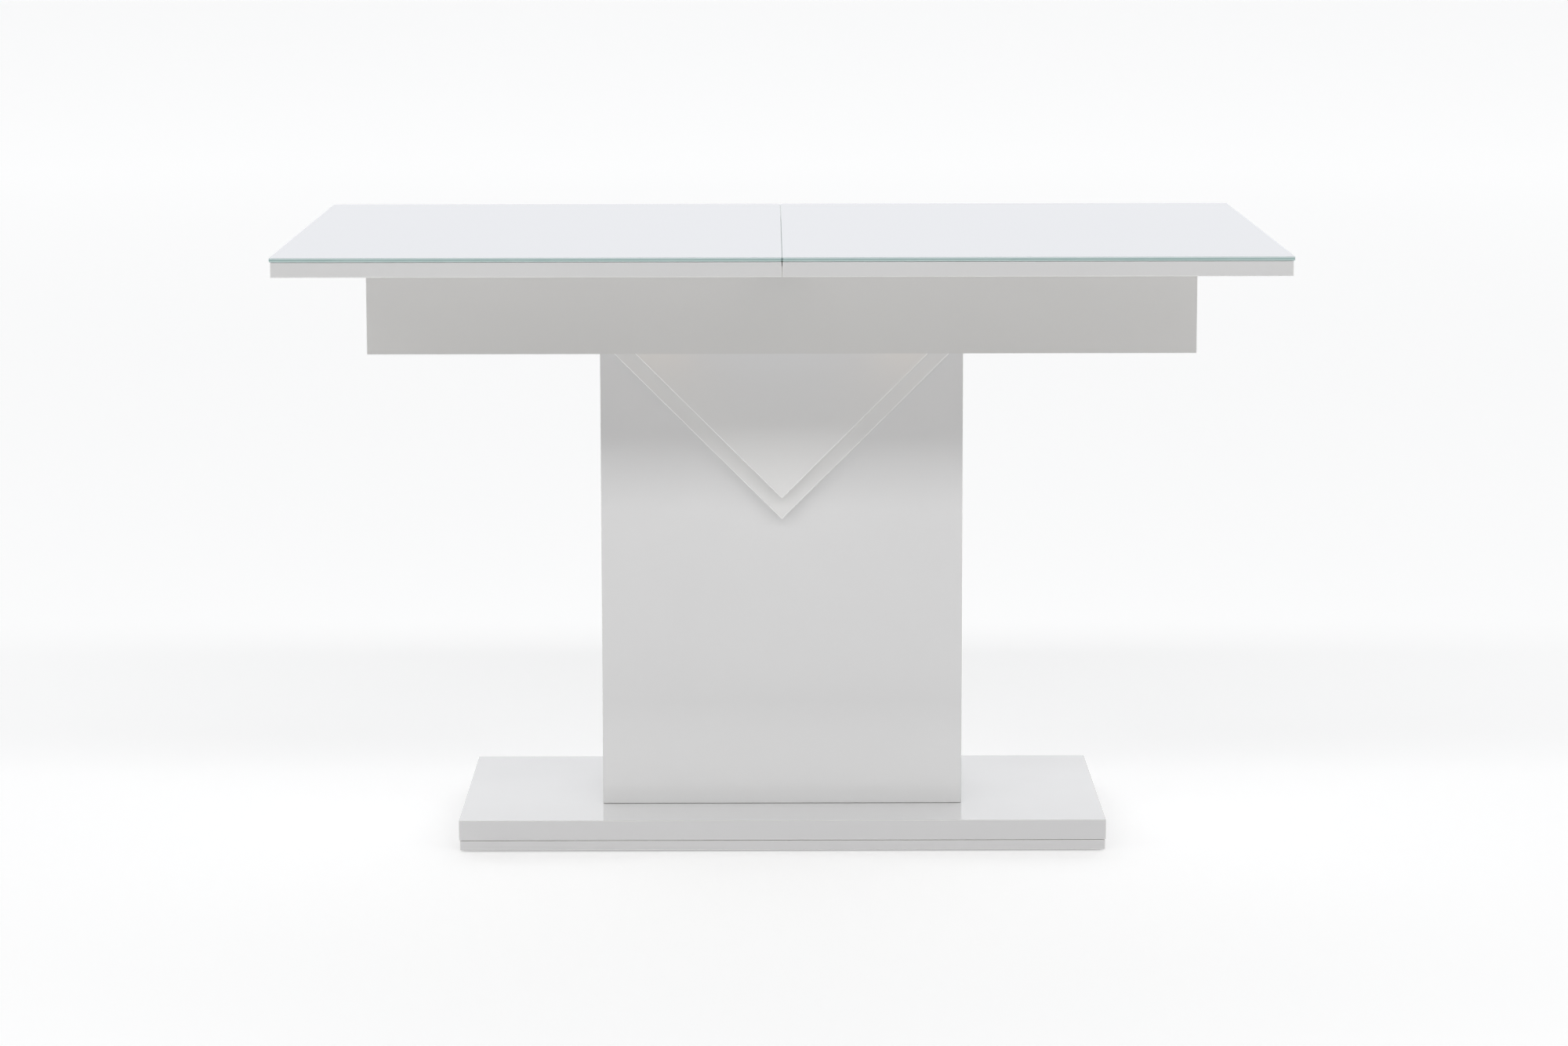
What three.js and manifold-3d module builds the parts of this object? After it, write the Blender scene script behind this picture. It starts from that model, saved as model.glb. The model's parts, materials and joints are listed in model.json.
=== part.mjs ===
// Extendable pedestal dining table, closed. White high-gloss boards carry glass, a split top slides
// apart on a rack-and-pinion pair of slides, and a folding leaf is stored in the apron.
// Millimetres, +Z up, +X along the table, -Y towards the front. The origin is on the floor below
// the middle of the table.
import * as THREE from "three";
import { mergeVertices } from "three/addons/utils/BufferGeometryUtils.js";
import Module from "manifold-3d";

const wasm = await Module();
wasm.setup();

// ---- Driving dimensions ----
const TABLE_LENGTH = 1200;
const TABLE_DEPTH = 800;
const TABLE_HEIGHT = 755;
const LEAF_LENGTH = 399.2; // along X, a little under the 400 mm opening of the pulled-out top
const APRON_LENGTH = 1000;
const APRON_DEPTH = 500;
const APRON_BOTTOM = 625;
const APRON_TOP = 730.7; // 1 mm below the sliding boards; the opened-out leaf rests here
const COLUMN_WIDTH = 450;
const COLUMN_DEPTH = 200;
const BASE_LENGTH = 800;
const BASE_DEPTH = 400;

// ---- Board and sheet thicknesses ----
const GLASS = 5;
const BOARD = 18;
const CARCASS_BOARD = 22;
const BASE_UPPER = 25;
const BASE_LOWER = 12;
const V_PLATE = 13;
const GLIDE = 2;

// ---- Gaps ----
const FIT = 0.3; // between pieces that touch
const SEAM = 0.15; // from the middle of the table to each glass edge
const BOARD_SEAM = 0.4; // and to each board edge
const SHADOW_JOINT = 0.6; // between the two base plates
const GLASS_OVERHANG = 1.5; // glass past the board under it, on the outer edges

// ---- Levels that follow ----
const GLASS_BOTTOM = TABLE_HEIGHT - GLASS;
const BOARD_TOP = GLASS_BOTTOM - FIT;
const BOARD_BOTTOM = BOARD_TOP - BOARD;
const LOWER_PLATE_BOTTOM = GLIDE + FIT;
const UPPER_PLATE_BOTTOM = LOWER_PLATE_BOTTOM + BASE_LOWER + SHADOW_JOINT;
const BASE_TOP = UPPER_PLATE_BOTTOM + BASE_UPPER;
const COLUMN_BOTTOM = BASE_TOP + FIT;
const COLUMN_TOP = APRON_BOTTOM - FIT;
const RAIL_BOTTOM = APRON_BOTTOM + FIT;
const RAIL_TOP = RAIL_BOTTOM + CARCASS_BOARD;
const APRON_INNER_Y = APRON_DEPTH / 2 - BOARD;

// ---- Slides: a guide channel, two runners with racks and one pinion at the front and the back ----
const TRAVEL = 200; // of each top half
const MODULE = 2;
const PINION_TEETH = 14;
const PITCH_RADIUS = (MODULE * PINION_TEETH) / 2;
const PRESSURE_ANGLE = THREE.MathUtils.degToRad(20);
const ADDENDUM = 0.8 * MODULE; // stub teeth, so that a 14-tooth pinion isn't undercut
const DEDENDUM = MODULE;
const BACKLASH = 0.4;
const TOOTH_PITCH = Math.PI * MODULE;
const RACK_ROOT = PITCH_RADIUS + DEDENDUM; // distance from the pinion's axis
const RACK_BAR = 6.5; // metal behind the tooth roots
const RACK_BACK = RACK_ROOT + RACK_BAR;
const TOOTH_WIDTH = 8;
const RUNNER_SHEET = 3; // a runner's web and flange
const SLIDE_PLAY = 0.5; // between a runner and its channel
const PINION_Z = 700;
const CHANNEL_WALL = 3;
const CHANNEL_END = 480;
const CHANNEL_OUTER_Y = APRON_INNER_Y - FIT;
const CHANNEL_INNER_Y = 209.2;
const CHANNEL_HALF_HEIGHT = RACK_BACK + SLIDE_PLAY + CHANNEL_WALL;
const WEB_OUTER_Y = CHANNEL_OUTER_Y - CHANNEL_WALL - SLIDE_PLAY;
const WEB_INNER_Y = WEB_OUTER_Y - RUNNER_SHEET;
const RACK_OUTER_Y = WEB_INNER_Y - SLIDE_PLAY;
const RACK_INNER_Y = CHANNEL_INNER_Y + CHANNEL_WALL + SLIDE_PLAY;
const TOOTH_INNER_Y = RACK_OUTER_Y - TOOTH_WIDTH;
const AXLE_RADIUS = 4;
const RUNNER_END = 470;
const RACK_REACH = TRAVEL + 18; // how far a rack runs past the middle of the table when closed

// ---- Folding leaf, stored face down and folded on the cross rails ----
const LEAF_DEPTH = TABLE_DEPTH / 2; // of each half, from the hinge axis
const LEAF_HINGE_Y = LEAF_DEPTH / 2;
const LEAF_PAD = 1;
const LEAF_FOLD_GAP = 8; // between the two undersides
const LOWER_GLASS_BOTTOM = RAIL_TOP + LEAF_PAD;
const LOWER_BOARD_BOTTOM = LOWER_GLASS_BOTTOM + GLASS + FIT;
const LOWER_BOARD_TOP = LOWER_BOARD_BOTTOM + BOARD;
const LEAF_HINGE_Z = LOWER_BOARD_TOP + LEAF_FOLD_GAP / 2;
const UPPER_BOARD_BOTTOM = LOWER_BOARD_TOP + LEAF_FOLD_GAP;
const UPPER_GLASS_BOTTOM = UPPER_BOARD_BOTTOM + BOARD + FIT;

// ---- Materials ----
const finish = (color, roughness, metalness = 0) =>
  new THREE.MeshStandardMaterial({ color, roughness, metalness });
const WHITE_GLOSS = finish(0xeeeeec, 0.12);
const WHITE_GLASS = finish(0xf1f4f6, 0.04);
const CORE_BOARD = finish(0xb89b74, 0.85);
const BEECH = finish(0xd2ab7c, 0.6);
const ALUMINIUM = finish(0xc9ccd0, 0.35, 1);
const ZINC_STEEL = finish(0xb4b8bc, 0.3, 1);
const BLACK_PLASTIC = finish(0x1c1c1e, 0.5);
const GREY_FELT = finish(0x6f6f70, 0.95);

const table = new THREE.Group();

// ---- Shape helpers ----
const X = new THREE.Vector3(1, 0, 0);
const Y = new THREE.Vector3(0, 1, 0);
const Z = new THREE.Vector3(0, 0, 1);

// Adds one named piece to a group.
function add(name, geometry, material, group = table) {
  const mesh = new THREE.Mesh(geometry, material);
  mesh.name = name;
  group.add(mesh);
  return mesh;
}

// A block between two values on each axis.
function block([x0, x1], [y0, y1], [z0, z1]) {
  const shape = new THREE.BoxGeometry(x1 - x0, y1 - y0, z1 - z0);
  return shape.translate((x0 + x1) / 2, (y0 + y1) / 2, (z0 + z1) / 2);
}

// A cylinder, or a prism with few sides, from one point to another.
function cylinder(radius, from, to, sides = 20) {
  const start = new THREE.Vector3(...from);
  const along = new THREE.Vector3(...to).sub(start);
  const shape = new THREE.CylinderGeometry(radius, radius, along.length(), sides);
  const turn = new THREE.Quaternion().setFromUnitVectors(Y, along.clone().normalize());
  return shape.applyQuaternion(turn).translate(...start.addScaledVector(along, 0.5));
}

// Extrudes an outline of [u, v] points, or a Shape, by depth. In plane "yz" u, v are Y, Z and the
// depth runs along +X from start; in "xz" it runs along -Y; in "xy" along +Z.
function extrude(outline, plane, start, depth) {
  const shape = outline instanceof THREE.Shape
    ? outline
    : new THREE.Shape(outline.map(([u, v]) => new THREE.Vector2(u, v)));
  const made = new THREE.ExtrudeGeometry(shape, { depth, bevelEnabled: false, curveSegments: 10 });
  const axes = { yz: [Y, Z, X], xz: [X, Z, Y.clone().negate()], xy: [X, Y, Z] }[plane];
  const shift = axes[2].clone().multiplyScalar(plane === "xz" ? -start : start);
  return made.applyMatrix4(new THREE.Matrix4().makeBasis(...axes)).translate(...shift);
}

// A closed geometry as a manifold-3d solid.
function solid(geometry) {
  const bare = geometry.clone();
  bare.deleteAttribute("normal");
  bare.deleteAttribute("uv");
  const merged = mergeVertices(bare, 1e-4);
  return new wasm.Manifold(
    new wasm.Mesh({
      numProp: 3,
      vertProperties: merged.attributes.position.array,
      triVerts: new Uint32Array(merged.index.array),
    }),
  );
}

// The geometry of a manifold-3d solid.
function geometryOf(manifold) {
  const mesh = manifold.getMesh();
  return new THREE.BufferGeometry()
    .setAttribute("position", new THREE.BufferAttribute(mesh.vertProperties, 3))
    .setIndex(new THREE.BufferAttribute(mesh.triVerts, 1))
    .toNonIndexed();
}

// One geometry made of several that overlap.
function join(...parts) {
  return geometryOf(parts.map(solid).reduce((whole, part) => whole.add(part)));
}

// A geometry with tools cut out of it.
function cut(body, ...tools) {
  return geometryOf(tools.map(solid).reduce((rest, tool) => rest.subtract(tool), solid(body)));
}

// The same range mirrored about zero for side -1, unchanged for side +1.
const sided = (side, inner, outer) => (side > 0 ? [inner, outer] : [-outer, -inner]);
const both = (half) => [-half, half];
const SIDES = { left: -1, right: 1 };
const FACES = { front: -1, back: 1 };

// ---- Base ----
const TIE_ROD_X = 150;
const TIE_ROD_Y = 50;
const ROD_RADIUS = 4;
const ROD_HOLE = 4.6;
const NUT_POCKET = 12.5;
const NUT_POCKET_DEPTH = 12;
const rodPlaces = [-1, 1].flatMap((y) => [-1, 1].map((x) => [x * TIE_ROD_X, y * TIE_ROD_Y]));

// Through holes for the tie rods that fall inside a board between two X values.
function rodHoles(z0, z1, [x0, x1] = [-Infinity, Infinity]) {
  return rodPlaces
    .filter(([x]) => x > x0 && x < x1)
    .map(([x, y]) => cylinder(ROD_HOLE, [x, y, z0 - 1], [x, y, z1 + 1], 16));
}

function addBase() {
  const inset = 1; // the lower plate is this much smaller all round
  const lower = [LOWER_PLATE_BOTTOM, LOWER_PLATE_BOTTOM + BASE_LOWER];
  add(
    "base_lower_plate",
    block(both(BASE_LENGTH / 2 - inset), both(BASE_DEPTH / 2 - inset), lower),
    WHITE_GLOSS,
  );
  const pocketTop = UPPER_PLATE_BOTTOM + NUT_POCKET_DEPTH;
  const pockets = rodPlaces.map((at) =>
    cylinder(NUT_POCKET, [...at, UPPER_PLATE_BOTTOM - 1], [...at, pocketTop]),
  );
  const upper = block(both(BASE_LENGTH / 2), both(BASE_DEPTH / 2), [UPPER_PLATE_BOTTOM, BASE_TOP]);
  add(
    "base_upper_plate",
    cut(upper, ...rodHoles(UPPER_PLATE_BOTTOM, BASE_TOP), ...pockets),
    WHITE_GLOSS,
  );
  const glideRadius = 18;
  const glideX = BASE_LENGTH / 2 - 2.5 * glideRadius;
  const glideY = BASE_DEPTH / 2 - 2 * glideRadius;
  for (const [face, y] of Object.entries(FACES)) {
    for (const [side, x] of Object.entries(SIDES)) {
      const at = [x * glideX, y * glideY];
      const pad = cylinder(glideRadius, [...at, 0], [...at, GLIDE], 24);
      add(`base_glide_${face}_${side}`, pad, GREY_FELT);
    }
  }
}

// ---- Column ----
const COLUMN_FRONT_Y = COLUMN_DEPTH / 2;
const V_OUTER_HALF = 222.2; // half width at the top, and so the height, of the 45 degree V
const V_BAND = 28; // height between the two V points

// A triangle pointing down from the top of the column, in the XZ plane.
function vPlate(halfWidth, nearY, face) {
  const outline = [
    [-halfWidth, COLUMN_TOP],
    [0, COLUMN_TOP - halfWidth],
    [halfWidth, COLUMN_TOP],
  ];
  const farY = nearY + V_PLATE;
  return extrude(outline, "xz", face > 0 ? farY : -nearY, V_PLATE);
}

function addColumn() {
  const height = [COLUMN_BOTTOM, COLUMN_TOP];
  const innerY = COLUMN_FRONT_Y - BOARD;
  for (const [face, y] of Object.entries(FACES)) {
    const panel = block(both(COLUMN_WIDTH / 2), sided(y, innerY, COLUMN_FRONT_Y), height);
    add(`column_${face}_panel`, panel, WHITE_GLOSS);
    const outerNear = COLUMN_FRONT_Y + FIT;
    const innerNear = outerNear + V_PLATE + FIT;
    add(`${face}_v_outer_plate`, vPlate(V_OUTER_HALF, outerNear, y), WHITE_GLOSS);
    add(`${face}_v_inner_plate`, vPlate(V_OUTER_HALF - V_BAND, innerNear, y), WHITE_GLOSS);
  }
  for (const [side, x] of Object.entries(SIDES)) {
    const across = sided(x, COLUMN_WIDTH / 2 - BOARD, COLUMN_WIDTH / 2);
    add(`column_${side}_panel`, block(across, both(innerY - FIT), height), WHITE_GLOSS);
  }
  const inner = [both(COLUMN_WIDTH / 2 - BOARD - FIT), both(innerY - FIT)];
  const foot = [COLUMN_BOTTOM, COLUMN_BOTTOM + CARCASS_BOARD];
  const head = [COLUMN_TOP - CARCASS_BOARD, COLUMN_TOP];
  add("column_foot_board", cut(block(...inner, foot), ...rodHoles(...foot)), CORE_BOARD);
  add("column_head_board", cut(block(...inner, head), ...rodHoles(...head)), CORE_BOARD);
}

// Four rods clamp base, column and cross rails together, with a washer and a nut at each end.
function addTieRods() {
  const washer = 1.6;
  const washerRadius = 11;
  const nut = 6.5;
  const nutRadius = 7.5; // over its corners
  const lowSeat = UPPER_PLATE_BOTTOM + NUT_POCKET_DEPTH - FIT;
  const highSeat = RAIL_TOP - NUT_POCKET_DEPTH + FIT;
  const tail = 2;
  for (const [x, y] of rodPlaces) {
    const piece = (radius, z0, z1, sides) => cylinder(radius, [x, y, z0], [x, y, z1], sides);
    const rod = join(
      piece(ROD_RADIUS, lowSeat - washer - nut - tail, highSeat + washer + nut + tail, 16),
      piece(washerRadius, lowSeat - washer, lowSeat, 20),
      piece(nutRadius, lowSeat - washer - nut, lowSeat - washer, 6),
      piece(washerRadius, highSeat, highSeat + washer, 20),
      piece(nutRadius, highSeat + washer, highSeat + washer + nut, 6),
    );
    const place = `${y < 0 ? "front" : "back"}_${x < 0 ? "left" : "right"}`;
    add(`tie_rod_${place}`, rod, ZINC_STEEL);
  }
}

// ---- Apron ----
// The end panels are cut away above this level, outside this distance from the middle, for the runners.
const NOTCH_Z = PINION_Z - CHANNEL_HALF_HEIGHT - 1;
const NOTCH_Y = CHANNEL_INNER_Y - 6;

function addApron() {
  const height = [APRON_BOTTOM, APRON_TOP];
  for (const [face, y] of Object.entries(FACES)) {
    const across = sided(y, APRON_INNER_Y, APRON_DEPTH / 2);
    add(`apron_${face}`, block(both(APRON_LENGTH / 2), across, height), WHITE_GLOSS);
  }
  const wide = APRON_INNER_Y - FIT;
  const endOutline = [
    [-wide, APRON_BOTTOM],
    [wide, APRON_BOTTOM],
    [wide, NOTCH_Z],
    [NOTCH_Y, NOTCH_Z],
    [NOTCH_Y, APRON_TOP],
    [-NOTCH_Y, APRON_TOP],
    [-NOTCH_Y, NOTCH_Z],
    [-wide, NOTCH_Z],
  ];
  const railHalf = 40;
  for (const [side, x] of Object.entries(SIDES)) {
    const end = sided(x, APRON_LENGTH / 2 - BOARD, APRON_LENGTH / 2);
    add(`apron_${side}_end`, extrude(endOutline, "yz", end[0], BOARD), WHITE_GLOSS);
    const across = [x * TIE_ROD_X - railHalf, x * TIE_ROD_X + railHalf];
    const rail = block(across, both(wide), [RAIL_BOTTOM, RAIL_TOP]);
    const pockets = rodPlaces
      .filter(([rodX]) => rodX * x > 0)
      .map((at) => cylinder(NUT_POCKET, [...at, RAIL_TOP - NUT_POCKET_DEPTH], [...at, RAIL_TOP + 1]));
    add(`cross_rail_${side}`, cut(rail, ...rodHoles(RAIL_BOTTOM, RAIL_TOP, across), ...pockets), BEECH);
  }
}

// Triangular glue blocks in the four inner corners, below the guide channels.
function addCornerBlocks() {
  const leg = 50;
  const height = 40;
  const cornerX = APRON_LENGTH / 2 - BOARD - FIT;
  const cornerY = APRON_INNER_Y - FIT;
  const bottom = APRON_BOTTOM + 4;
  for (const [face, y] of Object.entries(FACES)) {
    for (const [side, x] of Object.entries(SIDES)) {
      const outline = [
        [x * cornerX, y * cornerY],
        [x * (cornerX - leg), y * cornerY],
        [x * cornerX, y * (cornerY - leg)],
      ];
      add(`corner_block_${face}_${side}`, extrude(outline, "xy", bottom, height), BEECH);
    }
  }
}

// ---- Slides ----
// The front set is drawn; the back set is the same parts turned half a turn about Z.

// The channel's section: a back wall on the apron, floor, inner wall with two ledges that hold the
// racks' edges, and a roof that stops short of the back wall to let the runners' webs out.
function channelGeometry() {
  const low = PINION_Z - CHANNEL_HALF_HEIGHT;
  const high = PINION_Z + CHANNEL_HALF_HEIGHT;
  const inside = CHANNEL_INNER_Y + CHANNEL_WALL;
  const ledgeY = TOOTH_INNER_Y - FIT;
  const ledgeFar = RACK_ROOT - FIT; // a ledge's face towards the rack
  const ledgeNear = ledgeFar - CHANNEL_WALL;
  const outline = [
    [-CHANNEL_OUTER_Y, low],
    [-CHANNEL_INNER_Y, low],
    [-CHANNEL_INNER_Y, high],
    [-RACK_OUTER_Y, high],
    [-RACK_OUTER_Y, high - CHANNEL_WALL],
    [-inside, high - CHANNEL_WALL],
    [-inside, PINION_Z + ledgeFar],
    [-ledgeY, PINION_Z + ledgeFar],
    [-ledgeY, PINION_Z + ledgeNear],
    [-inside, PINION_Z + ledgeNear],
    [-inside, PINION_Z - ledgeNear],
    [-ledgeY, PINION_Z - ledgeNear],
    [-ledgeY, PINION_Z - ledgeFar],
    [-inside, PINION_Z - ledgeFar],
    [-inside, low + CHANNEL_WALL],
    [-CHANNEL_OUTER_Y + CHANNEL_WALL, low + CHANNEL_WALL],
    [-CHANNEL_OUTER_Y + CHANNEL_WALL, high],
    [-CHANNEL_OUTER_Y, high],
  ];
  return extrude(outline, "yz", -CHANNEL_END, 2 * CHANNEL_END);
}

// A strip of rack teeth facing the pinion from above (level 1) or below (level -1). The tooth
// spaces are centred on x = 0, where the pinion has a tooth.
function rackTeeth(level, firstX, lastX) {
  const half = TOOTH_PITCH / 4 - BACKLASH / 2;
  const slope = Math.tan(PRESSURE_ANGLE);
  const atTip = half - ADDENDUM * slope;
  const atRoot = half + DEDENDUM * slope;
  const tip = PITCH_RADIUS - ADDENDUM;
  const outline = [
    [firstX, RACK_ROOT + 1],
    [firstX, RACK_ROOT],
  ];
  for (let k = Math.ceil(firstX / TOOTH_PITCH); (k + 1) * TOOTH_PITCH < lastX; k++) {
    const x = (k + 0.5) * TOOTH_PITCH;
    outline.push([x - atRoot, RACK_ROOT], [x - atTip, tip], [x + atTip, tip], [x + atRoot, RACK_ROOT]);
  }
  outline.push([lastX, RACK_ROOT], [lastX, RACK_ROOT + 1]);
  const placed = outline.map(([x, v]) => [x, PINION_Z + level * v]);
  return extrude(placed, "xz", -TOOTH_INNER_Y, RACK_OUTER_Y - TOOTH_INNER_Y);
}

// A runner: a rack bar in the channel, a web up through the channel's slot, and a flange screwed
// to the top board. Level 1 runs above the pinion, level -1 below it.
function runnerGeometry(level, side) {
  const barZ = [PINION_Z + level * RACK_ROOT, PINION_Z + level * RACK_BACK].sort((a, b) => a - b);
  const flangeTop = BOARD_BOTTOM - FIT;
  const flangeBottom = flangeTop - RUNNER_SHEET;
  const flangeWidth = 22;
  const flangeStart = 3; // from the middle of the table
  const webStart = level > 0 ? flangeStart : PITCH_RADIUS + 8; // the lower rack's clears the pinion
  const bar = block(sided(side, -RACK_REACH, RUNNER_END), [-RACK_OUTER_Y, -RACK_INNER_Y], barZ);
  const foot = block(sided(side, webStart, RUNNER_END), [-WEB_OUTER_Y, -RACK_INNER_Y], barZ);
  const web = block(
    sided(side, webStart, RUNNER_END),
    [-WEB_OUTER_Y, -WEB_INNER_Y],
    [barZ[0], flangeTop],
  );
  const flange = block(
    sided(side, flangeStart, RUNNER_END),
    [-WEB_OUTER_Y, -WEB_OUTER_Y + flangeWidth],
    [flangeBottom, flangeTop],
  );
  const plainEnd = 2; // without teeth, past the last one
  const teeth = rackTeeth(level, ...sided(side, plainEnd - RACK_REACH, PITCH_RADIUS + plainEnd));
  return join(bar, foot, web, flange, teeth);
}

// A bar along the front pinion's axis, between two distances from the table's middle.
function axleBar(radius, outerY, innerY) {
  return cylinder(radius, [0, -outerY, PINION_Z], [0, -innerY, PINION_Z], 16);
}

// A pinion with involute flanks, one tooth up and one down, bored for its axle.
function pinionGeometry() {
  const baseRadius = PITCH_RADIUS * Math.cos(PRESSURE_ANGLE);
  const outerRadius = PITCH_RADIUS + ADDENDUM;
  const rootRadius = PITCH_RADIUS - DEDENDUM;
  const involute = (angle) => Math.tan(angle) - angle;
  const halfAtPitch = (TOOTH_PITCH / 2 - BACKLASH) / 2 / PITCH_RADIUS;
  const halfAt = (radius) =>
    halfAtPitch + involute(PRESSURE_ANGLE) - involute(Math.acos(Math.min(1, baseRadius / radius)));
  const flank = [baseRadius, (baseRadius + PITCH_RADIUS) / 2, PITCH_RADIUS, outerRadius];
  const outline = [];
  for (let k = 0; k < PINION_TEETH; k++) {
    const middle = Math.PI / 2 + (2 * Math.PI * k) / PINION_TEETH;
    const point = (radius, angle) => [
      radius * Math.cos(middle + angle),
      PINION_Z + radius * Math.sin(middle + angle),
    ];
    outline.push(point(rootRadius, -halfAt(baseRadius)));
    outline.push(...flank.map((radius) => point(radius, -halfAt(radius))));
    outline.push(...flank.toReversed().map((radius) => point(radius, halfAt(radius))));
    outline.push(point(rootRadius, halfAt(baseRadius)));
  }
  const play = 0.4;
  const width = RACK_OUTER_Y - TOOTH_INNER_Y - 2 * play;
  const wheel = extrude(outline, "xz", -TOOTH_INNER_Y - play, width);
  return cut(wheel, axleBar(AXLE_RADIUS + FIT, RACK_OUTER_Y + 1, TOOTH_INNER_Y - 1));
}

// The pinion's axle: a shouldered screw from the channel's inner wall to its back wall.
function axleGeometry() {
  const headRadius = 7;
  const headHeight = 3;
  return join(
    axleBar(headRadius, CHANNEL_INNER_Y - FIT, CHANNEL_INNER_Y - headHeight),
    axleBar(AXLE_RADIUS, CHANNEL_OUTER_Y - FIT, CHANNEL_INNER_Y - 1),
  );
}

function addSlideSet(face) {
  const set = new THREE.Group();
  set.rotation.z = face === "back" ? Math.PI : 0;
  table.add(set);
  const upperSide = face === "back" ? "right" : "left";
  const lowerSide = face === "back" ? "left" : "right";
  const axleHole = axleBar(AXLE_RADIUS + FIT, CHANNEL_OUTER_Y + 1, CHANNEL_INNER_Y - 1);
  add(`${face}_guide_channel`, cut(channelGeometry(), axleHole), ALUMINIUM, set);
  add(`${face}_${upperSide}_runner`, runnerGeometry(1, -1), ZINC_STEEL, set);
  add(`${face}_${lowerSide}_runner`, runnerGeometry(-1, 1), ZINC_STEEL, set);
  add(`${face}_sync_pinion`, pinionGeometry(), BLACK_PLASTIC, set);
  add(`${face}_pinion_axle`, axleGeometry(), ZINC_STEEL, set);
}

// ---- Top halves ----
const DOWEL_Y = 290;
const DOWEL_Z = BOARD_BOTTOM + BOARD / 2;
const DOWEL_RADIUS = 4;
const SOCKET_RADIUS = DOWEL_RADIUS + 0.6;
const SOCKET_DEPTH = 16;
const DOWEL_SET = 14; // of a dowel's length, inside the left half
const DOWEL_REACH = 12; // and standing out of it

function addTop() {
  const boardY = both(TABLE_DEPTH / 2 - GLASS_OVERHANG);
  for (const [side, x] of Object.entries(SIDES)) {
    const glassX = sided(x, SEAM, TABLE_LENGTH / 2);
    const boardX = sided(x, BOARD_SEAM, TABLE_LENGTH / 2 - GLASS_OVERHANG);
    const radius = x < 0 ? DOWEL_RADIUS + FIT : SOCKET_RADIUS; // the dowels stay in the left half
    const sockets = Object.values(FACES).map((y) =>
      cylinder(radius, [0, y * DOWEL_Y, DOWEL_Z], [x * SOCKET_DEPTH, y * DOWEL_Y, DOWEL_Z], 16),
    );
    const board = block(boardX, boardY, [BOARD_BOTTOM, BOARD_TOP]);
    add(`${side}_top_board`, cut(board, ...sockets), WHITE_GLOSS);
    const glass = block(glassX, both(TABLE_DEPTH / 2), [GLASS_BOTTOM, TABLE_HEIGHT]);
    add(`${side}_top_glass`, glass, WHITE_GLASS);
  }
  for (const [face, y] of Object.entries(FACES)) {
    const line = [y * DOWEL_Y, DOWEL_Z];
    const dowel = cylinder(DOWEL_RADIUS, [-DOWEL_SET, ...line], [DOWEL_REACH, ...line], 16);
    add(`seam_dowel_${face}`, dowel, BEECH);
  }
}

// ---- Folding leaf ----
function addLeaf() {
  const glassX = both(LEAF_LENGTH / 2);
  const boardX = both(LEAF_LENGTH / 2 - BOARD_SEAM);
  const outer = LEAF_HINGE_Y - LEAF_DEPTH;
  const glassY = [outer, LEAF_HINGE_Y - SEAM];
  const boardY = [outer + GLASS_OVERHANG, LEAF_HINGE_Y - BOARD_SEAM];
  const slab = (z0, thickness) => [z0, z0 + thickness];
  // Sockets in both side edges, for the dowels at the seam of the top.
  const socketY = LEAF_HINGE_Y - DOWEL_Y;
  const board = (z0) => {
    const z = z0 + BOARD / 2;
    const sockets = Object.values(SIDES).map((x) =>
      cylinder(
        SOCKET_RADIUS,
        [x * (LEAF_LENGTH / 2 - SOCKET_DEPTH), socketY, z],
        [x * LEAF_LENGTH, socketY, z],
        16,
      ),
    );
    return cut(block(boardX, boardY, slab(z0, BOARD)), ...sockets);
  };
  add("leaf_lower_glass", block(glassX, glassY, slab(LOWER_GLASS_BOTTOM, GLASS)), WHITE_GLASS);
  add("leaf_lower_board", board(LOWER_BOARD_BOTTOM), WHITE_GLOSS);
  add("leaf_upper_board", board(UPPER_BOARD_BOTTOM), WHITE_GLOSS);
  add("leaf_upper_glass", block(glassX, glassY, slab(UPPER_GLASS_BOTTOM, GLASS)), WHITE_GLASS);
}

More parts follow.
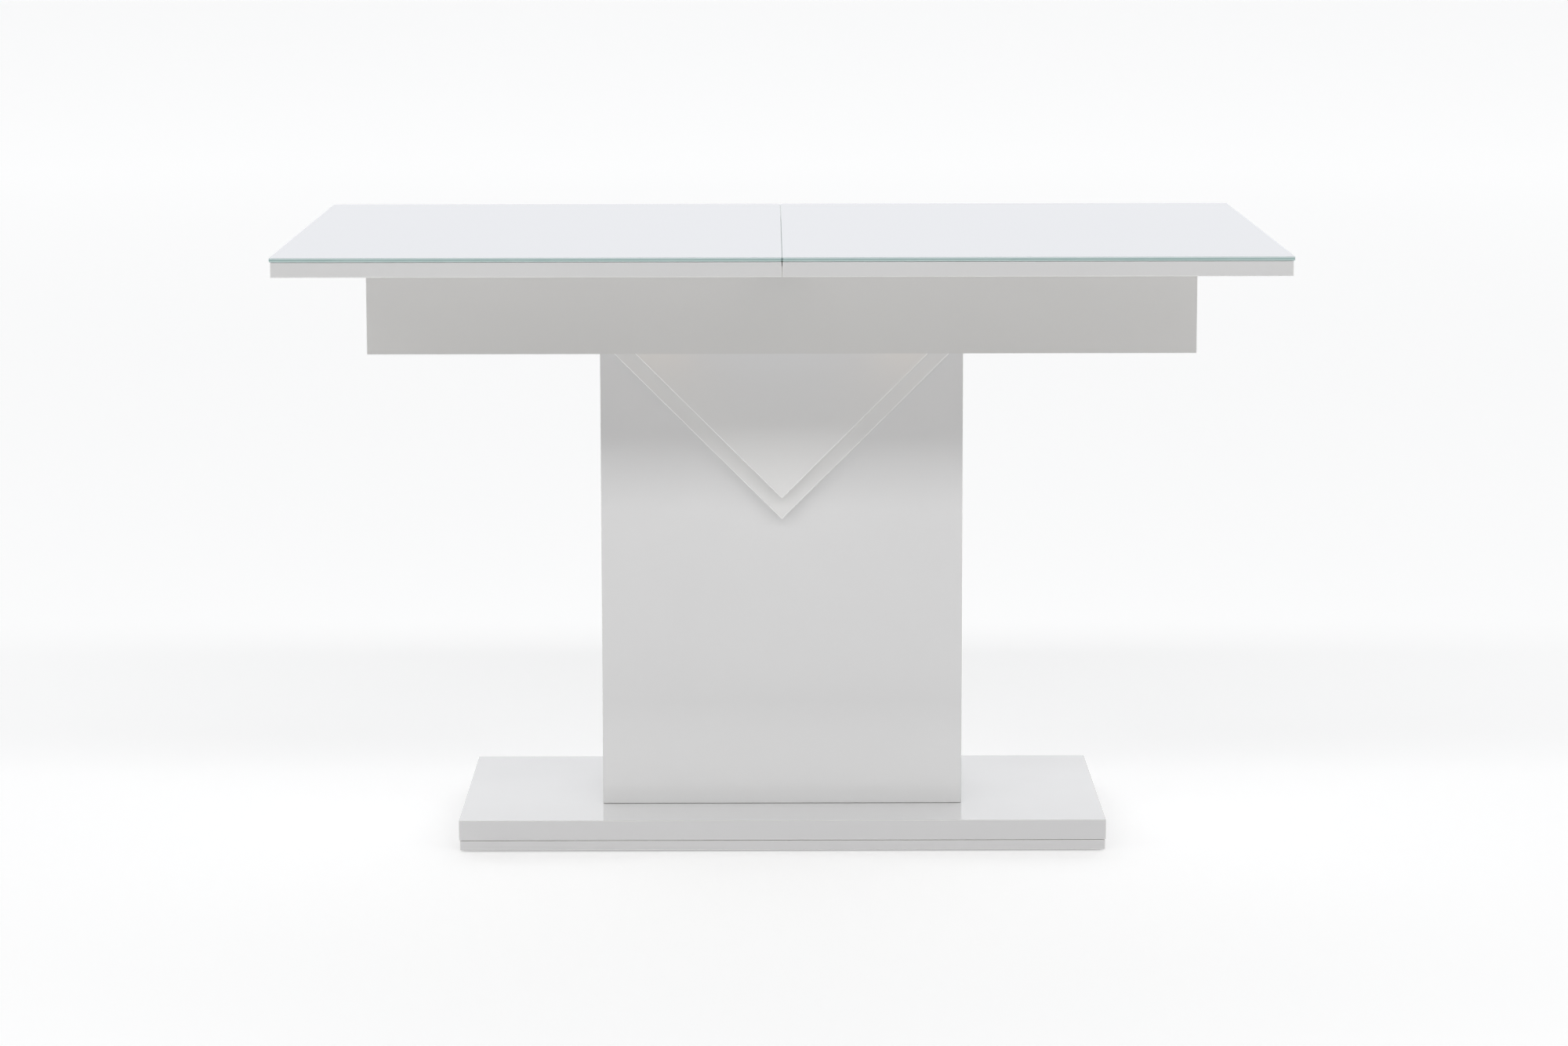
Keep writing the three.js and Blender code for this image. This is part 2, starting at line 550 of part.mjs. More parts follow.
// Butt hinges between the leaf's two undersides. Each has a lower flap with the two outer knuckles
// and an upper flap with the middle knuckle and the pin.
function addLeafHinges() {
  const hingeX = 120;
  const halfLength = 30;
  const middleHalf = 10;
  const knuckle = 3.6;
  const pin = 1.5;
  const sheet = 2;
  const flapDepth = 40;
  const clear = 0.4;
  const reliefY = [LEAF_HINGE_Y - knuckle - 1, LEAF_HINGE_Y + 5];
  const reliefZ = [LEAF_HINGE_Z - LEAF_FOLD_GAP, LEAF_HINGE_Z + LEAF_FOLD_GAP];
  const axis = [LEAF_HINGE_Y, LEAF_HINGE_Z];
  for (const [side, x] of Object.entries(SIDES)) {
    const at = x * hingeX;
    const barrel = (radius, from, to, sides = 16) =>
      cylinder(radius, [at + from, ...axis], [at + to, ...axis], sides);
    const flap = (z0) =>
      block(
        [at - halfLength, at + halfLength],
        [LEAF_HINGE_Y - flapDepth, LEAF_HINGE_Y],
        [z0, z0 + sheet],
      );
    const relief = (from, to) => block([at + from, at + to], reliefY, reliefZ);
    const lowerPlate = cut(
      flap(LOWER_BOARD_TOP + FIT),
      relief(-middleHalf - clear, middleHalf + clear),
    );
    const lowerFlap = cut(
      join(
        lowerPlate,
        barrel(knuckle, -halfLength, -middleHalf - clear),
        barrel(knuckle, middleHalf + clear, halfLength),
      ),
      barrel(pin + FIT, -halfLength - 1, halfLength + 1, 12),
    );
    add(`leaf_hinge_${side}_lower_flap`, lowerFlap, ZINC_STEEL);
    const upperPlate = cut(
      flap(UPPER_BOARD_BOTTOM - FIT - sheet),
      relief(-halfLength - 1, -middleHalf + clear),
      relief(middleHalf - clear, halfLength + 1),
    );
    const upperFlap = join(
      upperPlate,
      barrel(knuckle, -middleHalf + clear, middleHalf - clear),
      barrel(pin, -halfLength, halfLength, 12),
    );
    add(`leaf_hinge_${side}_upper_flap`, upperFlap, ZINC_STEEL);
  }
}

// ---- Top locks ----
// Under the seam, outside the apron. The lever turns a quarter turn about its plate's pin, and its
// slot then holds the strike's post on the other top half.
const LOCK_Y = 285;
const LOCK_REACH = 30; // from the lever's pin to the strike's post
const LOCK_PIN_X = -LOCK_REACH / 2;
const LOCK_PLATE = 2;
const LEVER_THICKNESS = 3;
const LEVER_PLAY = 0.5;
const POST_RADIUS = 4;
const POST_HEAD_RADIUS = 6.5;
const POST_HEAD = 2; // thickness of a post's head

// A plate under the top with a headed post on its lower side.
function headedPost(x) {
  const top = BOARD_BOTTOM - FIT;
  const plateBottom = top - LOCK_PLATE;
  const headTop = plateBottom - LEVER_THICKNESS - 2 * LEVER_PLAY;
  const headBottom = headTop - POST_HEAD;
  const halfWidth = 14;
  const halfDepth = 20;
  const y = -LOCK_Y;
  return join(
    block([x - halfWidth, x + halfWidth], [y - halfDepth, y + halfDepth], [plateBottom, top]),
    cylinder(POST_RADIUS, [x, y, headBottom + 1], [x, y, plateBottom + 1]),
    cylinder(POST_HEAD_RADIUS, [x, y, headBottom], [x, y, headTop]),
  );
}

// The lever points along -Y from its pin. Its slot is open on the side that leads as it turns.
function leverGeometry() {
  const top = BOARD_BOTTOM - FIT - LOCK_PLATE - LEVER_PLAY;
  const bottom = top - LEVER_THICKNESS;
  const hub = 10;
  const armHalf = 11;
  const armY = -LOCK_Y - LOCK_REACH - 2;
  const tailHalf = 6;
  const tailY = -LOCK_Y + 18;
  const outline = new THREE.Shape();
  outline.moveTo(LOCK_PIN_X - armHalf, armY);
  outline.absarc(LOCK_PIN_X, armY, armHalf, Math.PI, 2 * Math.PI);
  outline.lineTo(LOCK_PIN_X + hub, -LOCK_Y);
  outline.lineTo(LOCK_PIN_X + tailHalf, tailY);
  outline.absarc(LOCK_PIN_X, tailY, tailHalf, 0, Math.PI);
  outline.lineTo(LOCK_PIN_X - hub, -LOCK_Y);
  const slotHalf = POST_RADIUS + 0.8;
  const down = -Math.PI / 2;
  const mouth = down + Math.PI / 6; // past the arm's leading edge
  const end = down - 0.18; // just past the post's far side
  const slot = new THREE.Shape();
  slot.absarc(LOCK_PIN_X, -LOCK_Y, LOCK_REACH + slotHalf, end, mouth, false);
  slot.absarc(LOCK_PIN_X, -LOCK_Y, LOCK_REACH - slotHalf, mouth, end, true);
  const bore = [LOCK_PIN_X, -LOCK_Y];
  return cut(
    extrude(outline, "xy", bottom, LEVER_THICKNESS),
    extrude(slot, "xy", bottom - 1, LEVER_THICKNESS + 2),
    cylinder(POST_RADIUS + FIT, [...bore, bottom - 1], [...bore, top + 1]),
  );
}

function addLock(face) {
  const set = new THREE.Group();
  set.rotation.z = face === "back" ? Math.PI : 0;
  table.add(set);
  add(`${face}_lock_plate`, headedPost(LOCK_PIN_X), ZINC_STEEL, set);
  add(`${face}_lock_lever`, leverGeometry(), ZINC_STEEL, set);
  add(`${face}_lock_strike`, headedPost(-LOCK_PIN_X), ZINC_STEEL, set);
}

addBase();
addColumn();
addTieRods();
addApron();
addCornerBlocks();
for (const face of Object.keys(FACES)) {
  addSlideSet(face);
  addLock(face);
}
addTop();
addLeaf();
addLeafHinges();

export default table;
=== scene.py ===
import json
import math

import bmesh
import bpy
from mathutils import Matrix, Vector


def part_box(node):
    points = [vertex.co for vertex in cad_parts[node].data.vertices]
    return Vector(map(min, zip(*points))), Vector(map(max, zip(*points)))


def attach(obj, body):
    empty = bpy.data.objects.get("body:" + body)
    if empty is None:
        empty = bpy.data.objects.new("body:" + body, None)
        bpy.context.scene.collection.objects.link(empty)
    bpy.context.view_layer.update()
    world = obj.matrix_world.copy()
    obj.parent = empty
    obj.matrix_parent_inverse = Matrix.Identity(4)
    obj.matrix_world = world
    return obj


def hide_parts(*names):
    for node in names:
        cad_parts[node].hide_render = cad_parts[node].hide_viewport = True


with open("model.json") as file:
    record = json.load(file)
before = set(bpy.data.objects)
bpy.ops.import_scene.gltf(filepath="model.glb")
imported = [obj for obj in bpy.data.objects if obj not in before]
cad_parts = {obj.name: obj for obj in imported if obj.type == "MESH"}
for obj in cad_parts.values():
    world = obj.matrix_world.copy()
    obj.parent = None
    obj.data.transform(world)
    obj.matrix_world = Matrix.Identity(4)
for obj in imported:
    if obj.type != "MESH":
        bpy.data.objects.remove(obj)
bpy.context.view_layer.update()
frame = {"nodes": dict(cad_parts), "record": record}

BODY_OF = {node: body for body, nodes in frame["record"]["behaviour"]["bodies"].items() for node in nodes}
SLOT_OF = {part["node"]: part["material_slot"] for part in frame["record"]["subparts"]}

# ---- Node helpers ----


def tree_of(name):
    """A new node material's tree and its shader."""
    material = bpy.data.materials.new(name)
    material.use_nodes = True
    return material, material.node_tree, material.node_tree.nodes["Principled BSDF"]


def put(tree, kind, inputs=None, **settings):
    """A node of that kind. Inputs are values or the sockets that feed them."""
    node = tree.nodes.new(kind)
    for key, value in settings.items():
        setattr(node, key, value)
    for key, value in (inputs or {}).items():
        if isinstance(value, bpy.types.NodeSocket):
            tree.links.new(value, node.inputs[key])
        else:
            node.inputs[key].default_value = value
    return node


def place(tree, stretch=(1, 1, 1)):
    """The point on the piece, in metres, with each axis stretched."""
    coords = put(tree, "ShaderNodeTexCoord")
    return put(tree, "ShaderNodeMapping", {"Vector": coords.outputs["Object"], "Scale": stretch}).outputs[0]


def noise(tree, scale, detail=2.0, stretch=(1, 1, 1), rough=0.5):
    """Noise from 0 to 1 with that many features a metre."""
    inputs = {"Vector": place(tree, stretch), "Scale": scale, "Detail": detail, "Roughness": rough}
    return put(tree, "ShaderNodeTexNoise", inputs).outputs["Fac"]


def spread(tree, value, low, high, start=0.0, end=1.0):
    """Maps value from start..end to low..high, and clamps it."""
    inputs = {"Value": value, "From Min": start, "From Max": end, "To Min": low, "To Max": high}
    return put(tree, "ShaderNodeMapRange", inputs).outputs["Result"]


def mixed(tree, factor, first, second):
    """One colour blended into another."""
    mix = put(tree, "ShaderNodeMix", data_type="RGBA")
    for socket, value in zip((mix.inputs[0], mix.inputs[6], mix.inputs[7]), (factor, first, second)):
        if isinstance(value, bpy.types.NodeSocket):
            tree.links.new(value, socket)
        else:
            socket.default_value = value if isinstance(value, (int, float)) else (*value, 1)[:4]
    return mix.outputs[2]


def bump(tree, height, depth, strength=1.0, under=None):
    """The normal of a surface whose height goes up to depth metres."""
    inputs = {"Height": height, "Distance": depth, "Strength": strength}
    if under is not None:
        inputs["Normal"] = under
    return put(tree, "ShaderNodeBump", inputs).outputs["Normal"]


def feed(tree, shader, **sources):
    """Links sources to the shader's sockets, by name with _ for a space."""
    for key, source in sources.items():
        tree.links.new(source, shader.inputs[key.replace("_", " ")])


# ---- Materials ----
LACQUER = (0.80, 0.80, 0.795)
LACQUER_DEEP = (0.775, 0.775, 0.772)
DUST_NIB = (0.55, 0.54, 0.53)
FIBREBOARD = (0.40, 0.30, 0.19)
GLASS_WHITE = (0.780, 0.795, 0.850)
GLASS_WHITE_DEEP = (0.762, 0.782, 0.835)
LACQUER_IOR = 1.5
GLASS_IOR = 1.52
# Each group of boards has its white lacquer darkened by its own amount: painted shade standing in for the
# light each group gets.
GROUP_PAINTED_SHADES = {
    "column": (0.928, 0.926, 0.932),
    "plates": (0.950, 0.945, 0.942),
    "apron": (0.872, 0.862, 0.848),
    "base": (0.862, 0.858, 0.868),
    "top": (0.832, 0.828, 0.830),
}
# Painted light: faces that look up are made this much whiter.
FACE_UP_PAINTED_LIGHT = (1.06, 1.06, 1.072)
# Painted light: the column is whitest at its foot, lifting the shade beside the base, and reaches its own
# shade this far up.
FOOT_PAINTED_LIGHT = (1.100, 1.100, 1.105)
FOOT_RISE = 0.13
FOOT_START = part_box("column_foot_board")[0].z


def shaded(colour, shade):
    """A colour with each of its parts multiplied."""
    return tuple(part * factor for part, factor in zip(colour, shade))


def height_of(tree, vector):
    """The Z part of a vector."""
    return put(tree, "ShaderNodeSeparateXYZ", {"Vector": vector}).outputs["Z"]


def lacquer_tone(tree, shade):
    """The lacquer's colour, darkened by the group's painted shade. Faces that look up are a little whiter,
    a painted highlight standing in for the light from above.
    """
    cloud = spread(tree, noise(tree, 3.0, 4.0), 0, 1, 0.3, 0.7)
    upright, lit_top_colour = (
        mixed(tree, cloud, shaded(LACQUER, painted_factor), shaded(LACQUER_DEEP, painted_factor))
        for painted_factor in (shade, FACE_UP_PAINTED_LIGHT)
    )
    looks_up = height_of(tree, put(tree, "ShaderNodeNewGeometry").outputs["True Normal"])
    return mixed(tree, spread(tree, looks_up, 0, 1, 0.4, 0.8), upright, lit_top_colour)


def painted_foot_light(tree, tone):
    """The column's colour, painted whiter at the foot against the shade beside the base, fading up to the
    tone.
    """
    foot_light_mask = spread(tree, height_of(tree, place(tree)), 1, 0, FOOT_START, FOOT_START + FOOT_RISE)
    return mixed(tree, foot_light_mask, tone, shaded(LACQUER, FOOT_PAINTED_LIGHT))


def lacquer(group):
    """High-gloss white lacquer: faint cloudiness, orange peel, dust nibs and wiping marks."""
    material, tree, shader = tree_of(f"white_lacquer_{group}")
    tone = lacquer_tone(tree, GROUP_PAINTED_SHADES[group])
    if group == "column":
        tone = painted_foot_light(tree, tone)
    nibs = spread(tree, noise(tree, 420.0, 1.0), 0, 0.35, 0.80, 0.86)
    feed(tree, shader, Base_Color=mixed(tree, nibs, tone, DUST_NIB))
    wiping = noise(tree, 9.0, 5.0, (1, 1, 2.6))
    feed(tree, shader, Roughness=spread(tree, wiping, 0.07, 0.15, 0.3, 0.7))
    peel = bump(tree, noise(tree, 260.0, 2.0), 0.00001)
    feed(tree, shader, Normal=bump(tree, noise(tree, 7.0, 1.0), 0.00012, under=peel))
    shader.inputs["IOR"].default_value = LACQUER_IOR
    return material


def painted_highlight_chamfer():
    """The pale chamfer of the V-shaped plates, whiter than the faces: a painted highlight along the plates'
    edges.
    """
    material, tree, shader = tree_of("painted_highlight_chamfer")
    white = mixed(tree, noise(tree, 40.0, 3.0), (0.95, 0.95, 0.945), (0.90, 0.90, 0.895))
    feed(tree, shader, Base_Color=white)
    feed(tree, shader, Roughness=spread(tree, noise(tree, 120.0, 2.0), 0.10, 0.22))
    feed(tree, shader, Normal=bump(tree, noise(tree, 500.0, 2.0), 0.00001))
    return material


def worn_edge(name, worn):
    """The lacquer on an eased edge, thinner than on the faces, and rubbed through in spots."""
    material, tree, shader = tree_of(name)
    thin = mixed(tree, noise(tree, 60.0, 3.0), (0.80, 0.80, 0.79), (0.73, 0.725, 0.71))
    rubbed = spread(tree, noise(tree, 34.0, 6.0, rough=0.65), 0, 0.8, 1 - worn, 1 - worn + 0.05)
    feed(tree, shader, Base_Color=mixed(tree, rubbed, thin, FIBREBOARD))
    feed(tree, shader, Roughness=spread(tree, rubbed, 0.12, 0.6))
    feed(tree, shader, Normal=bump(tree, noise(tree, 500.0, 2.0), 0.00002))
    return material


def painted_glass():
    """Polished float glass over white paint, with faint smears and a few specks of dust."""
    material, tree, shader = tree_of("painted_glass")
    paint = mixed(tree, noise(tree, 1.7, 3.0), GLASS_WHITE, GLASS_WHITE_DEEP)
    dust = spread(tree, noise(tree, 700.0, 0.0), 0, 0.25, 0.82, 0.88)
    feed(tree, shader, Base_Color=mixed(tree, dust, paint, (0.62, 0.62, 0.62)))
    smear = noise(tree, 6.0, 6.0, (1, 0.35, 1), 0.6)
    feed(tree, shader, Roughness=spread(tree, smear, 0.015, 0.07, 0.35, 0.75))
    feed(tree, shader, Normal=bump(tree, noise(tree, 2.5, 1.0), 0.00008))
    shader.inputs["IOR"].default_value = GLASS_IOR
    return material


def glass_edge(name, bottom, top):
    """The ground and polished edge of the glass: green, with painted light and shade across its height,
    palest at the top and darkest along the middle.
    """
    material, tree, shader = tree_of(name)
    height = spread(tree, height_of(tree, place(tree)), 0, 1, bottom, top)
    ramp = put(tree, "ShaderNodeValToRGB", {"Fac": height})
    painted_light_bands = ramp.color_ramp.elements
    painted_light_bands[0].position, painted_light_bands[0].color = 0.0, (0.46, 0.57, 0.55, 1)
    painted_light_bands[1].position, painted_light_bands[1].color = 1.0, (0.78, 0.85, 0.85, 1)
    for position, colour in (
        (0.28, (0.47, 0.60, 0.58, 1)),
        (0.42, (0.22, 0.34, 0.325, 1)),
        (0.56, (0.30, 0.42, 0.41, 1)),
        (0.72, (0.50, 0.60, 0.60, 1)),
    ):
        painted_light_bands.new(position).color = colour
    streak = spread(tree, noise(tree, 30.0, 3.0, (1, 1, 0.1)), 0.0, 0.25, 0.35, 0.75)
    feed(tree, shader, Base_Color=mixed(tree, streak, ramp.outputs["Color"], (0.56, 0.66, 0.65)))
    feed(tree, shader, Roughness=spread(tree, noise(tree, 180.0, 3.0), 0.06, 0.2))
    feed(tree, shader, Normal=bump(tree, noise(tree, 900.0, 2.0), 0.00001))
    shader.inputs["IOR"].default_value = GLASS_IOR
    return material


def beech():
    """Steamed beech with its short dark flecks."""
    material, tree, shader = tree_of("beech")
    rings = noise(tree, 26.0, 5.0, (0.12, 1, 1), 0.6)
    wood = mixed(tree, spread(tree, rings, 0, 1, 0.35, 0.68), (0.70, 0.61, 0.52), (0.60, 0.51, 0.42))
    fleck = spread(tree, noise(tree, 520.0, 1.0, (0.18, 1, 1)), 0, 0.6, 0.66, 0.74)
    feed(tree, shader, Base_Color=mixed(tree, fleck, wood, (0.30, 0.17, 0.09)))
    feed(tree, shader, Roughness=spread(tree, rings, 0.55, 0.72))
    feed(tree, shader, Normal=bump(tree, noise(tree, 700.0, 2.0, (0.15, 1, 1)), 0.00006))
    return material


def raw_board():
    """Raw chipboard: pressed flakes of several browns."""
    material, tree, shader = tree_of("raw_board")
    flakes = put(tree, "ShaderNodeTexVoronoi", {"Vector": place(tree, (1, 1, 3)), "Scale": 260.0})
    browns = put(tree, "ShaderNodeValToRGB", {"Fac": flakes.outputs["Color"]})
    ends = browns.color_ramp.elements
    ends[0].color, ends[1].color = (0.33, 0.21, 0.12, 1), (0.66, 0.50, 0.32, 1)
    dust = spread(tree, noise(tree, 45.0, 4.0), 0, 0.5)
    feed(tree, shader, Base_Color=mixed(tree, dust, browns.outputs["Color"], (0.55, 0.42, 0.28)))
    shader.inputs["Roughness"].default_value = 0.85
    feed(tree, shader, Normal=bump(tree, flakes.outputs["Distance"], 0.0003))
    return material


def aluminium():
    """Anodised aluminium with the extrusion's lines along X."""
    material, tree, shader = tree_of("aluminium")
    lines = noise(tree, 900.0, 2.0, (0.01, 1, 1))
    feed(tree, shader, Base_Color=mixed(tree, lines, (0.60, 0.61, 0.62), (0.72, 0.73, 0.74)))
    feed(tree, shader, Roughness=spread(tree, lines, 0.3, 0.48))
    feed(tree, shader, Normal=bump(tree, lines, 0.00003))
    shader.inputs["Metallic"].default_value = 1.0
    return material


def zinc():
    """Bright zinc plating: bluish, with cloudy patches and rubbed streaks."""
    material, tree, shader = tree_of("zinc_steel")
    patches = noise(tree, 55.0, 4.0)
    feed(tree, shader, Base_Color=mixed(tree, patches, (0.56, 0.59, 0.63), (0.70, 0.70, 0.68)))
    rubbed = noise(tree, 350.0, 3.0, (0.08, 1, 1))
    feed(tree, shader, Roughness=spread(tree, rubbed, 0.22, 0.42, 0.3, 0.7))
    feed(tree, shader, Normal=bump(tree, noise(tree, 800.0, 2.0), 0.00002))
    shader.inputs["Metallic"].default_value = 1.0
    return material


def moulded():
    """Black moulded plastic with a fine spark-eroded grain."""
    material, tree, shader = tree_of("black_plastic")
    grain = noise(tree, 2200.0, 2.0)
    black = mixed(tree, noise(tree, 40.0, 3.0), (0.016, 0.016, 0.017), (0.030, 0.030, 0.032))
    feed(tree, shader, Base_Color=black)
    feed(tree, shader, Roughness=spread(tree, grain, 0.38, 0.55))
    feed(tree, shader, Normal=bump(tree, grain, 0.00004))
    return material


def felt():
    """Grey pressed felt with light and dark fibres."""
    material, tree, shader = tree_of("grey_felt")
    fibre = noise(tree, 2600.0, 4.0, (1, 0.25, 1), 0.7)
    feed(tree, shader, Base_Color=mixed(tree, fibre, (0.08, 0.08, 0.082), (0.28, 0.275, 0.27)))
    shader.inputs["Roughness"].default_value = 0.95
    shader.inputs["Sheen Weight"].default_value = 0.4
    feed(tree, shader, Normal=bump(tree, fibre, 0.0004))
    return material


def bonding():
    """Clear-grey silicone between the glass and its board."""
    material, tree, shader = tree_of("bonding")
    grey = mixed(tree, noise(tree, 80.0, 3.0), (0.16, 0.165, 0.165), (0.25, 0.255, 0.25))
    feed(tree, shader, Base_Color=grey)
    shader.inputs["Roughness"].default_value = 0.35
    feed(tree, shader, Normal=bump(tree, noise(tree, 300.0, 2.0), 0.00005))
    return material


LACQUERS = {group: lacquer(group) for group in GROUP_PAINTED_SHADES}
FINISHES = {
    "core_board": raw_board(),
    "beech": beech(),
    "aluminium": aluminium(),
    "zinc_steel": zinc(),
    "black_plastic": moulded(),
    "grey_felt": felt(),
}
FINE_EDGE = worn_edge("lacquer_edge", 0.16)
KICKED_EDGE = worn_edge("kicked_edge", 0.27)
V_PAINTED_HIGHLIGHT = painted_highlight_chamfer()
GLASS_FACE = painted_glass()
BONDING = bonding()

# ---- CAD nodes that keep their shape: eased edges and a finish ----
EASED = {
    "white_lacquer": 0.0009,
    "core_board": 0.0003,
    "beech": 0.0008,
    "aluminium": 0.0003,
    "zinc_steel": 0.0003,
    "black_plastic": 0.0002,
    "grey_felt": 0.0004,
}
V_CHAMFER = 0.0012
SAME_POINT = 0.00001
SHARP_ANGLE = math.radians(35)


def finish_of(node):
    """A CAD node's material: its slot's, and for lacquer its group's."""
    slot = SLOT_OF[node]
    if slot != "white_lacquer":
        return FINISHES[slot]
    for group in ("column", "apron", "base"):
        if group in node:
            return LACQUERS[group]
    return LACQUERS["plates" if "_v_" in node else "top"]


def ease(node, radius, edge=None, steps=3):
    """Rounds a node's sharp edges, in their own material if there is one. One step is a flat chamfer."""
    piece = frame["nodes"][node]
    piece.data.materials.clear()
    piece.data.materials.append(finish_of(node))
    weld = piece.modifiers.new("weld", "WELD")
    weld.merge_threshold = SAME_POINT
    rounding = piece.modifiers.new("ease", "BEVEL")
    rounding.width = radius
    rounding.segments = steps
    rounding.limit_method = "ANGLE"
    rounding.angle_limit = SHARP_ANGLE
    rounding.harden_normals = True
    if edge is not None:
        piece.data.materials.append(edge)
        rounding.material = 1


for node_name, slot_name in SLOT_OF.items():
    if slot_name == "white_glass":
        continue
    if "_v_" in node_name:
        # The V plates' chamfers take the painted highlight.
        ease(node_name, V_CHAMFER, V_PAINTED_HIGHLIGHT, steps=1)
        continue
    edge_material = None
    if slot_name == "white_lacquer":
        edge_material = KICKED_EDGE if node_name.startswith("base") else FINE_EDGE
    ease(node_name, EASED[slot_name], edge_material)

# ---- Glass sheets ----
ARRIS = 0.0006
CORNER_STEPS = 6
GLASS_CORNER = 0.0025
BOND_CORNER = 0.004
BOND_ARRIS = 0.00005
BOND_SETBACK = 0.003
BOND_CLEARANCE = 0.00002


def rounded_outline(low, high, radius, inset):
    """Points round a rectangle with rounded corners, seen from above, anticlockwise."""
    points = []
    turns = ((high.x, high.y, 0), (low.x, high.y, 1), (low.x, low.y, 2), (high.x, low.y, 3))
    for x, y, quarter in turns:
        centre_x = x - math.copysign(radius, x - (low.x + high.x) / 2)
        centre_y = y - math.copysign(radius, y - (low.y + high.y) / 2)
        for step in range(CORNER_STEPS + 1):
            angle = math.pi / 2 * (quarter + step / CORNER_STEPS)
            reach = radius - inset
            points.append((centre_x + reach * math.cos(angle), centre_y + reach * math.sin(angle)))
    return points


def sheet_mesh(name, low, high, radius, arris):
    """A flat plate with rounded corners and ground arrises. Its edge is in the second material."""
    mesh = bmesh.new()
    levels = ((low.z, arris), (low.z + arris, 0), (high.z - arris, 0), (high.z, arris))
    rings = [
        [mesh.verts.new((x, y, z)) for x, y in rounded_outline(low, high, radius, inset)]
        for z, inset in levels
    ]
    mesh.faces.new(reversed(rings[0]))
    mesh.faces.new(rings[-1])
    count = len(rings[0])
    for lower, upper in zip(rings, rings[1:]):
        for k in range(count):
            after = (k + 1) % count
            side = mesh.faces.new((lower[k], lower[after], upper[after], upper[k]))
            side.material_index = 1
    return finished(name, mesh)


def finished(name, mesh):
    """An object from a bmesh, added to the scene."""
    mesh.normal_update()
    data = bpy.data.meshes.new(name)
    mesh.to_mesh(data)
    mesh.free()
    piece = bpy.data.objects.new(name, data)
    bpy.context.scene.collection.objects.link(piece)
    return piece


def glass_sheet(node):
    """The sheet that stands in for a CAD node of glass."""
    low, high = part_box(node)
    piece = sheet_mesh(f"{node}_sheet", low, high, GLASS_CORNER, ARRIS)
    piece.data.materials.append(GLASS_FACE)
    piece.data.materials.append(glass_edge(f"{node}_edge", low.z, high.z))
    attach(piece, BODY_OF[node])
    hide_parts(node)


def bond_film(glass, board):
    """The silicone that fills the gap between a glass sheet and its board, set back from the edge."""
    glass_low, glass_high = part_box(glass)
    board_low, board_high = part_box(board)
    bottom, top = (board_high.z, glass_low.z) if glass_low.z > board_low.z else (glass_high.z, board_low.z)
    setback = Vector((BOND_SETBACK, BOND_SETBACK, 0))
    low = Vector((board_low.x, board_low.y, bottom + BOND_CLEARANCE)) + setback
    high = Vector((board_high.x, board_high.y, top - BOND_CLEARANCE)) - setback
    piece = sheet_mesh(f"{glass}_bond", low, high, BOND_CORNER, BOND_ARRIS)
    for _ in ("faces", "edge"):
        piece.data.materials.append(BONDING)
    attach(piece, BODY_OF[glass])


for half in ("left_top", "right_top", "leaf_lower", "leaf_upper"):
    glass_sheet(f"{half}_glass")
    bond_film(f"{half}_glass", f"{half}_board")

# ---- Screws ----
HEAD_RADIUS = 0.0036
HEAD_POINTS = 24
# Sizes of a head, as shares of its radius.
RECESS_REACH = 0.55
RECESS_HALF_WIDTH = 0.14
RECESS_DEPTH = 0.45
RECESS_TAPER = 0.6
SKIRT_DEPTH = 0.5
SKIRT_TAPER = 0.98
HEAD_LIFT = 0.12

# A lock plate's thickness, and its screws' distance from its ends.
PLATE_SHEET = 0.002
PLATE_SCREW_INSET = 0.006
# A runner's flange: its thickness, its middle's distance from the outer side, and its gap to the seam.
FLANGE = 0.003
FLANGE_MIDDLE = 0.013
FLANGE_START = 0.003
RUNNER_SCREWS = 6
# A guide channel's screws sit below the middle of its wall.
CHANNEL_SCREWS = 8
CHANNEL_SCREW_DROP = 0.006
# A corner block's screws, as shares of its height.
BLOCK_SCREW_HEIGHTS = (0.28, 0.72)


def band(mesh, first, second):
    """Faces between two rings of the same number of points."""
    for k in range(len(first)):
        after = (k + 1) % len(first)
        mesh.faces.new((first[k], first[after], second[after], second[k]))


def cross_points(radius):
    """Corners of a cross recess, in order round it."""
    arm, width = radius * RECESS_REACH, radius * RECESS_HALF_WIDTH
    points = []
    for quarter in range(4):
        turn = Matrix.Rotation(quarter * math.pi / 2, 3, "Z")
        points += [turn @ Vector((x, y, 0)) for x, y in ((arm, -width), (arm, width), (width, width))]
    return points


def screw_into(mesh, place_at, axis, radius=HEAD_RADIUS):
    """Adds a countersunk head with a cross recess, its face at place_at and facing along axis."""
    head = bmesh.new()
    angles = (2 * math.pi * k / HEAD_POINTS for k in range(HEAD_POINTS))
    rim = [head.verts.new((radius * math.cos(angle), radius * math.sin(angle), 0)) for angle in angles]
    cross = [head.verts.new(point) for point in cross_points(radius)]
    edges = [head.edges.new(pair) for ring in (rim, cross) for pair in zip(ring, ring[1:] + ring[:1])]
    bmesh.ops.triangle_fill(head, use_beauty=True, edges=edges)
    recess_floor, skirt = (
        [head.verts.new((v.co.x * taper, v.co.y * taper, -radius * depth)) for v in ring]
        for ring, taper, depth in ((cross, RECESS_TAPER, RECESS_DEPTH), (rim, SKIRT_TAPER, SKIRT_DEPTH))
    )
    band(head, cross, recess_floor)
    head.faces.new(recess_floor)
    band(head, rim, skirt)
    head.faces.new(skirt)
    bmesh.ops.recalc_face_normals(head, faces=head.faces)
    facing = Vector(axis)
    turn = Vector((0, 0, 1)).rotation_difference(facing).to_matrix().to_4x4()
    head.transform(Matrix.Translation(Vector(place_at) + facing * radius * HEAD_LIFT) @ turn)
    carrier = bpy.data.meshes.new("screw")
    head.to_mesh(carrier)
    head.free()
    mesh.from_mesh(carrier)
    bpy.data.meshes.remove(carrier)


